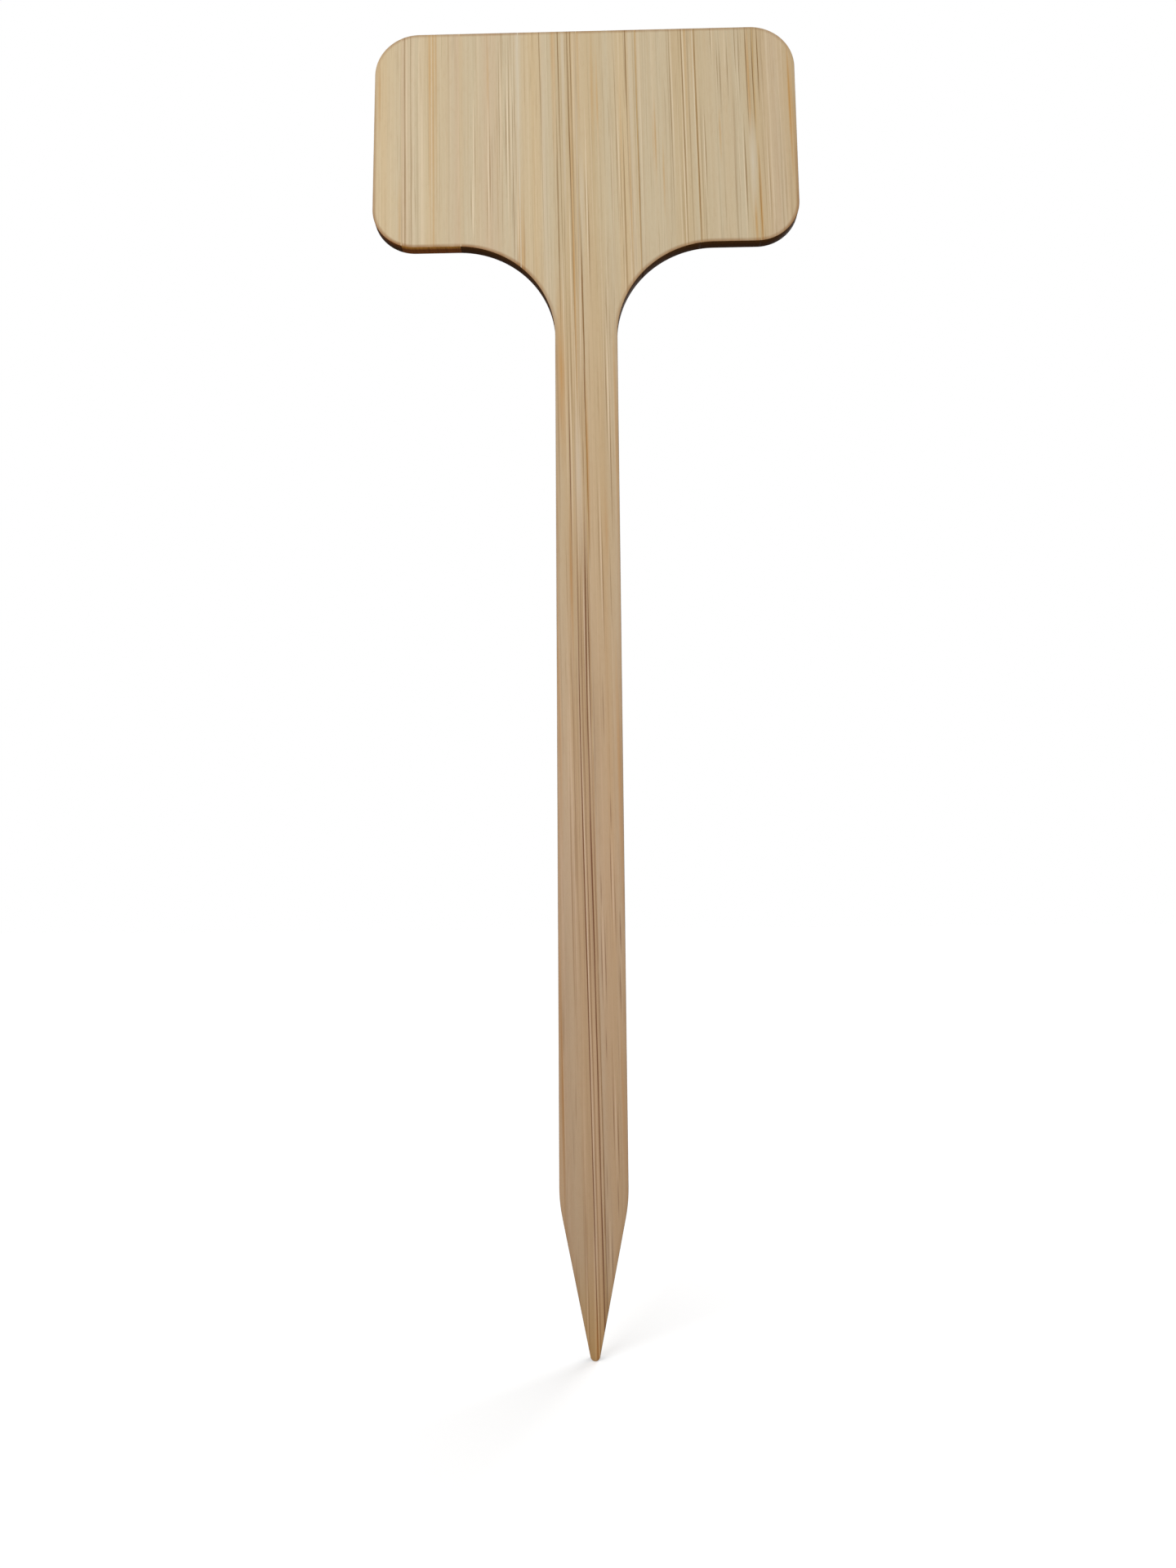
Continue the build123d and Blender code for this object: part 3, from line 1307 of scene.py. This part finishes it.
RIGHT_2 = SandedBamboo(
    tones=(TAN, STRAW, STRAW, STRAW, TAN),
    dense_side=DenseSide.RIGHT,
    seed=10.3,
    fibres=(
        Fibre(0.1, 0.22, DARK, 1.1),
        Fibre(0.35, 0.24, PALE, 0.5, 140, 180),
        Fibre(0.6, 0.18, DARK, 0.4, 148, 174),
        Fibre(0.85, 0.17, DARK, 0.6, 142, 156),
        Fibre(1.0, 0.18, PALE, 1.1, 152, 168),
        Fibre(1.17, 0.18, DARK, 1.0, 152, 168),
        Fibre(2.45, 0.18, DARK, 0.7, 173, 184),
        Fibre(2.62, 0.18, PALE, 1.0, 173, 184),
        Fibre(3.25, 0.18, DARK, 0.7, 167, 180),
        Fibre(3.3, 0.4, AMBER, 0.5, 158, 168),
        Fibre(3.66, 0.18, DARK, 0.8, 166, 178),
        Fibre(4.4, 0.18, PALE, 0.9, 170, 182),
        Fibre(4.7, 0.18, DARK, 0.9, 167, 179),
        Fibre(5.22, 0.2, DARK, 0.45, 146, 164),
        Fibre(5.87, 0.18, DARK, 1.0, 171, 184),
        Fibre(6.15, 0.18, PALE, 0.9, 166, 182),
        Fibre(6.34, 0.2, DARK, 1.1, 167, 182),
        Fibre(6.5, 0.2, PALE, 0.8, 146, 168),
        Fibre(6.72, 0.24, DARK, 1.1, 147, 167),
        Fibre(7.4, 0.24, DARK, 1.5, 162, 184),
        Fibre(7.62, 0.5, AMBER, 0.7, 160, 182),
        Fibre(8.27, 0.24, DARK, 1.2, 160, 184),
        Fibre(7.8, 1.5, GREY, 1.0, 150, 167),
        Fibre(7.85, 0.5, AMBER, 0.7, 143, 155),
    ),
)
RIGHT_3 = SandedBamboo(
    tones=(TAN, SAND, TAN, CLAY),
    dense_side=DenseSide.LEFT,
    seed=11.9,
    fibres=(
        Fibre(0.65, 0.22, DARK, 1.3, 165, 184),
        Fibre(0.2, 0.6, AMBER, 0.7, 140, 162),
        Fibre(0.2, 0.22, DARK, 1.3, 143, 162),
        Fibre(1.45, 0.2, PALE, 0.9, 146, 166),
        Fibre(1.65, 0.18, DARK, 0.6, 146, 166),
        Fibre(3.8, 0.18, DARK, 0.5, 148, 162),
        Fibre(4.9, 0.5, AMBER, 1.0, 154, 180),
        Fibre(4.9, 0.18, DARK, 0.6, 157, 177),
        Fibre(5.25, 0.4, AMBER, 0.6, 154, 180),
    ),
)


def bamboo_strips() -> list[BambooStrip]:
    """The stake's strips, each with its own tones and fibres.

    Returns:
        The strips from left to right.
    """
    soot = CharredEdge(CharTone.SOOT, CharTone.COAL, seed=1.0)
    rust = CharredEdge(CharTone.RUST, CharTone.COAL, seed=1.0)
    ember = CharredEdge(CharTone.EMBER, CharTone.RUST, seed=2.0, reach=0.4)
    finishes = {
        "head_strip_left_3": (LEFT_3, rust),
        "head_strip_left_2": (LEFT_2, ember),
        "head_strip_left_1": (LEFT_1, soot),
        "stem_strip_left": (STEM_LEFT, soot),
        "stem_strip_right": (STEM_RIGHT, soot),
        "head_strip_right_1": (RIGHT_1, soot),
        "head_strip_right_2": (RIGHT_2, soot),
        "head_strip_right_3": (RIGHT_3, soot),
    }
    first_seam = -4  # a strip lies on the right of its seam, and the seams are counted from the stem's
    return [
        BambooStrip(node, seam, finish, rim)
        for seam, (node, (finish, rim)) in enumerate(finishes.items(), first_seam)
    ]


def glue_lines() -> list[GlueLine]:
    """The stake's glue lines, each with its tones going up.

    Returns:
        The glue lines from left to right.
    """
    clear, milky, brown, dark, sunken, stained = GlueTone
    stem_tones = (
        (40.0, stained),
        (56.0, sunken),
        (95.0, sunken),
        (108.0, brown),
        (122.0, stained),
        (142.0, stained),
        (154.0, clear),
    )
    tones = {
        "head_glue_line_left_3": ((0.0, clear),),
        "head_glue_line_left_2": ((0.0, clear),),
        "head_glue_line_left_1": ((0.0, milky),),
        "stem_glue_line": stem_tones,
        "head_glue_line_right_1": ((150.0, dark), (165.0, brown)),
        "head_glue_line_right_2": ((0.0, dark),),
        "head_glue_line_right_3": ((150.0, brown), (158.0, clear), (166.0, brown)),
    }
    rim = CharredEdge(CharTone.SOOT, CharTone.COAL, seed=3.0)
    first_seam = -3  # the seams are counted from the stem's
    return [
        GlueLine(node, seam, DriedGlue(going_up, seed=2.0 * seam), rim)
        for seam, (node, going_up) in enumerate(tones.items(), first_seam)
    ]


def main() -> None:
    """Builds the stake, dresses it and sets the studio round it."""
    logging.basicConfig(level=logging.INFO, format="%(message)s")
    low, high = cad_box
    width, thickness, length = (high - low) / MM
    cut_line = CutLine(overall_length=length, head_width=width)
    board = Board(cut_line, thickness=thickness)
    LabelStake(board, bamboo_strips(), glue_lines()).build()
    Studio().build()


if __name__ == "__main__":
    main()
